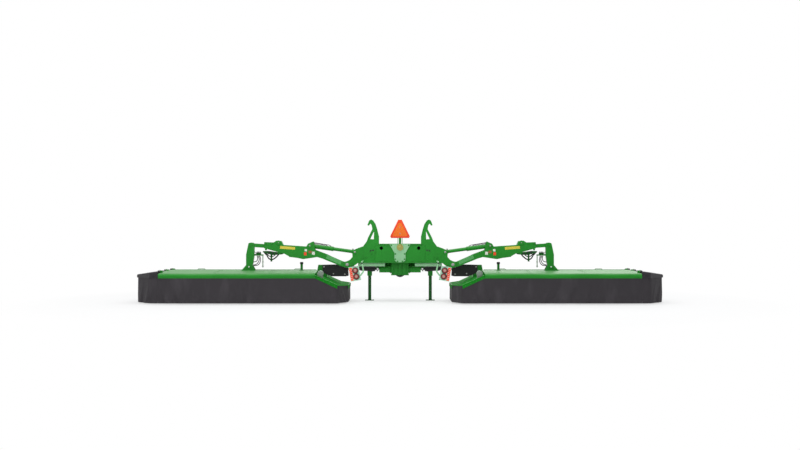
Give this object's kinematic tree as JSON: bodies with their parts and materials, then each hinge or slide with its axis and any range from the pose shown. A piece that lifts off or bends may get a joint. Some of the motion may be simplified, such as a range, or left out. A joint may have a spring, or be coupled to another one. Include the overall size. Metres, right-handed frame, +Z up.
{
  "type": "rear butterfly disc mower conditioner",
  "caption": "Tractor-mounted double disc mower conditioner with folding booms, covered mower units, curtains, outer guards and a central headstock.",
  "frame": {"origin": "on the floor at the middle of the machine's width and depth, booms lowered", "axes": "+X to the machine's right, +Y the direction of travel, +Z up"},
  "size_m": [9.84, 2.28, 1.568],
  "materials": {
    "green_paint": "satin machinery green",
    "pale_green_paint": "lighter green",
    "white_paint": "white board with red stripes",
    "lamp_plastic": "red lamp lens in a dark rim",
    "orange_sheet": "orange triangle with a red border",
    "dark_paint": "dark green to black",
    "black_rubber": "matt black",
    "black_plastic": "charcoal plastic",
    "curtain_fabric": "charcoal coated fabric",
    "worn_steel": "worn steel"
  },
  "bodies": {
    "headstock": {"hitch_frame": "green_paint", "hook_plates": "green_paint", "centre_tubes": "pale_green_paint", "centre_cover": "pale_green_paint", "centre_gearbox": "green_paint", "light_panels": "white_paint", "lamps": "lamp_plastic", "slow_sign": "orange_sheet"},
    "stand_right": {"stand_right": "dark_paint"},
    "boom_right": {"boom_right": "green_paint", "boom_valve_right": "dark_paint"},
    "slide_right": {"slide_post_right": "green_paint", "post_hoses_right": "black_rubber"},
    "unit_right": {"roof_right": "green_paint", "inner_deck_right": "green_paint", "unit_frame_right": "green_paint", "cutterbar_right": "worn_steel", "curtains_right": "curtain_fabric", "drive_guard_right": "black_plastic"},
    "guard_right": {"guard_cap_right": "black_plastic", "guard_curtain_right": "curtain_fabric"},
    "lift_barrel_right": {"lift_barrel_right": "green_paint"},
    "lift_rod_right": {"lift_rod_right": "green_paint"},
    "drive_sleeve_right": {"drive_sleeve_right": "black_plastic"},
    "drive_shaft_right": {"drive_shaft_right": "black_plastic"},
    "rotor_right": {"rotor_right": "worn_steel"},
    "disc_1_right": {"disc_1_right": "worn_steel"},
    "disc_2_right": {"disc_2_right": "worn_steel"},
    "disc_3_right": {"disc_3_right": "worn_steel"},
    "disc_4_right": {"disc_4_right": "worn_steel"},
    "disc_5_right": {"disc_5_right": "worn_steel"},
    "disc_6_right": {"disc_6_right": "worn_steel"},
    "disc_7_right": {"disc_7_right": "worn_steel"},
    "disc_8_right": {"disc_8_right": "worn_steel"},
    "stand_left": {"stand_left": "dark_paint"},
    "boom_left": {"boom_left": "green_paint", "boom_valve_left": "dark_paint"},
    "slide_left": {"slide_post_left": "green_paint", "post_hoses_left": "black_rubber"},
    "unit_left": {"roof_left": "green_paint", "inner_deck_left": "green_paint", "unit_frame_left": "green_paint", "cutterbar_left": "worn_steel", "curtains_left": "curtain_fabric", "drive_guard_left": "black_plastic"},
    "guard_left": {"guard_cap_left": "black_plastic", "guard_curtain_left": "curtain_fabric"},
    "lift_barrel_left": {"lift_barrel_left": "green_paint"},
    "lift_rod_left": {"lift_rod_left": "green_paint"},
    "drive_sleeve_left": {"drive_sleeve_left": "black_plastic"},
    "drive_shaft_left": {"drive_shaft_left": "black_plastic"},
    "rotor_left": {"rotor_left": "worn_steel"},
    "disc_1_left": {"disc_1_left": "worn_steel"},
    "disc_2_left": {"disc_2_left": "worn_steel"},
    "disc_3_left": {"disc_3_left": "worn_steel"},
    "disc_4_left": {"disc_4_left": "worn_steel"},
    "disc_5_left": {"disc_5_left": "worn_steel"},
    "disc_6_left": {"disc_6_left": "worn_steel"},
    "disc_7_left": {"disc_7_left": "worn_steel"},
    "disc_8_left": {"disc_8_left": "worn_steel"}
  },
  "joints": [
    {"name": "stand_leg_right", "type": "slide", "parent": "headstock", "child": "stand_right", "axis": [0, 0, 1], "range_m": [0, 0.3]},
    {"name": "boom_fold_right", "type": "hinge", "parent": "headstock", "child": "boom_right", "pos_m": [1, -0.25, 0.715], "axis": [0, -1, 0], "range_deg": [0, 88]},
    {"name": "boom_slide_right", "type": "slide", "parent": "boom_right", "child": "slide_right", "axis": [0.9978, 0, 0.0658], "range_m": [-0.14, 0.16]},
    {"name": "unit_tilt_right", "type": "hinge", "parent": "slide_right", "child": "unit_right", "pos_m": [2.86, -0.25, 0.67], "axis": [0, -1, 0], "range_deg": [-7, 7]},
    {"name": "guard_fold_right", "type": "hinge", "parent": "unit_right", "child": "guard_right", "pos_m": [4.453, -0.2, 0.613], "axis": [0, -1, 0], "range_deg": [0, 90]},
    {"name": "lift_swing_right", "type": "hinge", "parent": "headstock", "child": "lift_barrel_right", "pos_m": [0.855, -0.25, 0.953], "axis": [0, -1, 0], "range_deg": [0, 103.18]},
    {"name": "lift_stroke_right", "type": "slide", "parent": "lift_barrel_right", "child": "lift_rod_right", "axis": [0.9908, 0, 0.1356], "range_m": [-0.3454, 0]},
    {"name": "drive_swing_right", "type": "hinge", "parent": "headstock", "child": "drive_sleeve_right", "pos_m": [0.43, 0.05, 0.62], "axis": [0, -1, 0], "range_deg": [0, 38.08]},
    {"name": "drive_stroke_right", "type": "slide", "parent": "drive_sleeve_right", "child": "drive_shaft_right", "axis": [0.9992, 0, 0.0392], "range_m": [-0.1816, 0]},
    {"name": "rotor_turn_right", "type": "hinge", "parent": "unit_right", "child": "rotor_right", "pos_m": [3.05, -0.3, 0.315], "axis": [1, 0, 0], "continuous": true},
    {"name": "disc_1_turn_right", "type": "hinge", "parent": "unit_right", "child": "disc_1_right", "pos_m": [1.51875, 0.25, 0.15], "axis": [0, 0, 1], "continuous": true},
    {"name": "disc_2_turn_right", "type": "hinge", "parent": "unit_right", "child": "disc_2_right", "pos_m": [1.95625, 0.25, 0.15], "axis": [0, 0, 1], "continuous": true},
    {"name": "disc_3_turn_right", "type": "hinge", "parent": "unit_right", "child": "disc_3_right", "pos_m": [2.39375, 0.25, 0.15], "axis": [0, 0, 1], "continuous": true},
    {"name": "disc_4_turn_right", "type": "hinge", "parent": "unit_right", "child": "disc_4_right", "pos_m": [2.83125, 0.25, 0.15], "axis": [0, 0, 1], "continuous": true},
    {"name": "disc_5_turn_right", "type": "hinge", "parent": "unit_right", "child": "disc_5_right", "pos_m": [3.26875, 0.25, 0.15], "axis": [0, 0, 1], "continuous": true},
    {"name": "disc_6_turn_right", "type": "hinge", "parent": "unit_right", "child": "disc_6_right", "pos_m": [3.70625, 0.25, 0.15], "axis": [0, 0, 1], "continuous": true},
    {"name": "disc_7_turn_right", "type": "hinge", "parent": "unit_right", "child": "disc_7_right", "pos_m": [4.14375, 0.25, 0.15], "axis": [0, 0, 1], "continuous": true},
    {"name": "disc_8_turn_right", "type": "hinge", "parent": "unit_right", "child": "disc_8_right", "pos_m": [4.58125, 0.25, 0.15], "axis": [0, 0, 1], "continuous": true},
    {"name": "stand_leg_left", "type": "slide", "parent": "headstock", "child": "stand_left", "axis": [0, 0, 1], "range_m": [0, 0.3]},
    {"name": "boom_fold_left", "type": "hinge", "parent": "headstock", "child": "boom_left", "pos_m": [-1, -0.25, 0.715], "axis": [0, 1, 0], "range_deg": [0, 88]},
    {"name": "boom_slide_left", "type": "slide", "parent": "boom_left", "child": "slide_left", "axis": [-0.9978, 0, 0.0658], "range_m": [-0.14, 0.16]},
    {"name": "unit_tilt_left", "type": "hinge", "parent": "slide_left", "child": "unit_left", "pos_m": [-2.86, -0.25, 0.67], "axis": [0, 1, 0], "range_deg": [-7, 7]},
    {"name": "guard_fold_left", "type": "hinge", "parent": "unit_left", "child": "guard_left", "pos_m": [-4.453, -0.2, 0.613], "axis": [0, 1, 0], "range_deg": [0, 90]},
    {"name": "lift_swing_left", "type": "hinge", "parent": "headstock", "child": "lift_barrel_left", "pos_m": [-0.855, -0.25, 0.953], "axis": [0, 1, 0], "range_deg": [0, 103.18]},
    {"name": "lift_stroke_left", "type": "slide", "parent": "lift_barrel_left", "child": "lift_rod_left", "axis": [-0.9908, 0, 0.1356], "range_m": [-0.3454, 0]},
    {"name": "drive_swing_left", "type": "hinge", "parent": "headstock", "child": "drive_sleeve_left", "pos_m": [-0.43, 0.05, 0.62], "axis": [0, 1, 0], "range_deg": [0, 38.08]},
    {"name": "drive_stroke_left", "type": "slide", "parent": "drive_sleeve_left", "child": "drive_shaft_left", "axis": [-0.9992, 0, 0.0392], "range_m": [-0.1816, 0]},
    {"name": "rotor_turn_left", "type": "hinge", "parent": "unit_left", "child": "rotor_left", "pos_m": [-3.05, -0.3, 0.315], "axis": [1, 0, 0], "continuous": true},
    {"name": "disc_1_turn_left", "type": "hinge", "parent": "unit_left", "child": "disc_1_left", "pos_m": [-1.51875, 0.25, 0.15], "axis": [0, 0, 1], "continuous": true},
    {"name": "disc_2_turn_left", "type": "hinge", "parent": "unit_left", "child": "disc_2_left", "pos_m": [-1.95625, 0.25, 0.15], "axis": [0, 0, 1], "continuous": true},
    {"name": "disc_3_turn_left", "type": "hinge", "parent": "unit_left", "child": "disc_3_left", "pos_m": [-2.39375, 0.25, 0.15], "axis": [0, 0, 1], "continuous": true},
    {"name": "disc_4_turn_left", "type": "hinge", "parent": "unit_left", "child": "disc_4_left", "pos_m": [-2.83125, 0.25, 0.15], "axis": [0, 0, 1], "continuous": true},
    {"name": "disc_5_turn_left", "type": "hinge", "parent": "unit_left", "child": "disc_5_left", "pos_m": [-3.26875, 0.25, 0.15], "axis": [0, 0, 1], "continuous": true},
    {"name": "disc_6_turn_left", "type": "hinge", "parent": "unit_left", "child": "disc_6_left", "pos_m": [-3.70625, 0.25, 0.15], "axis": [0, 0, 1], "continuous": true},
    {"name": "disc_7_turn_left", "type": "hinge", "parent": "unit_left", "child": "disc_7_left", "pos_m": [-4.14375, 0.25, 0.15], "axis": [0, 0, 1], "continuous": true},
    {"name": "disc_8_turn_left", "type": "hinge", "parent": "unit_left", "child": "disc_8_left", "pos_m": [-4.58125, 0.25, 0.15], "axis": [0, 0, 1], "continuous": true}
  ],
  "couplings": [
    {"joint": "lift_swing_right", "follows": "boom_fold_right", "ratio": 1.1719},
    {"joint": "lift_stroke_right", "follows": "boom_fold_right", "m_per_rad": -0.22453},
    {"joint": "drive_swing_right", "follows": "boom_fold_right", "ratio": 0.43213},
    {"joint": "drive_stroke_right", "follows": "boom_fold_right", "m_per_rad": -0.1179},
    {"joint": "disc_2_turn_right", "follows": "disc_1_turn_right", "ratio": 1},
    {"joint": "disc_3_turn_right", "follows": "disc_1_turn_right", "ratio": 1},
    {"joint": "disc_4_turn_right", "follows": "disc_1_turn_right", "ratio": 1},
    {"joint": "disc_5_turn_right", "follows": "disc_1_turn_right", "ratio": 1},
    {"joint": "disc_6_turn_right", "follows": "disc_1_turn_right", "ratio": 1},
    {"joint": "disc_7_turn_right", "follows": "disc_1_turn_right", "ratio": 1},
    {"joint": "disc_8_turn_right", "follows": "disc_1_turn_right", "ratio": 1},
    {"joint": "lift_swing_left", "follows": "boom_fold_left", "ratio": 1.1719},
    {"joint": "lift_stroke_left", "follows": "boom_fold_left", "m_per_rad": -0.22453},
    {"joint": "drive_swing_left", "follows": "boom_fold_left", "ratio": 0.43213},
    {"joint": "drive_stroke_left", "follows": "boom_fold_left", "m_per_rad": -0.1179},
    {"joint": "disc_2_turn_left", "follows": "disc_1_turn_left", "ratio": 1},
    {"joint": "disc_3_turn_left", "follows": "disc_1_turn_left", "ratio": 1},
    {"joint": "disc_4_turn_left", "follows": "disc_1_turn_left", "ratio": 1},
    {"joint": "disc_5_turn_left", "follows": "disc_1_turn_left", "ratio": 1},
    {"joint": "disc_6_turn_left", "follows": "disc_1_turn_left", "ratio": 1},
    {"joint": "disc_7_turn_left", "follows": "disc_1_turn_left", "ratio": 1},
    {"joint": "disc_8_turn_left", "follows": "disc_1_turn_left", "ratio": 1}
  ]
}
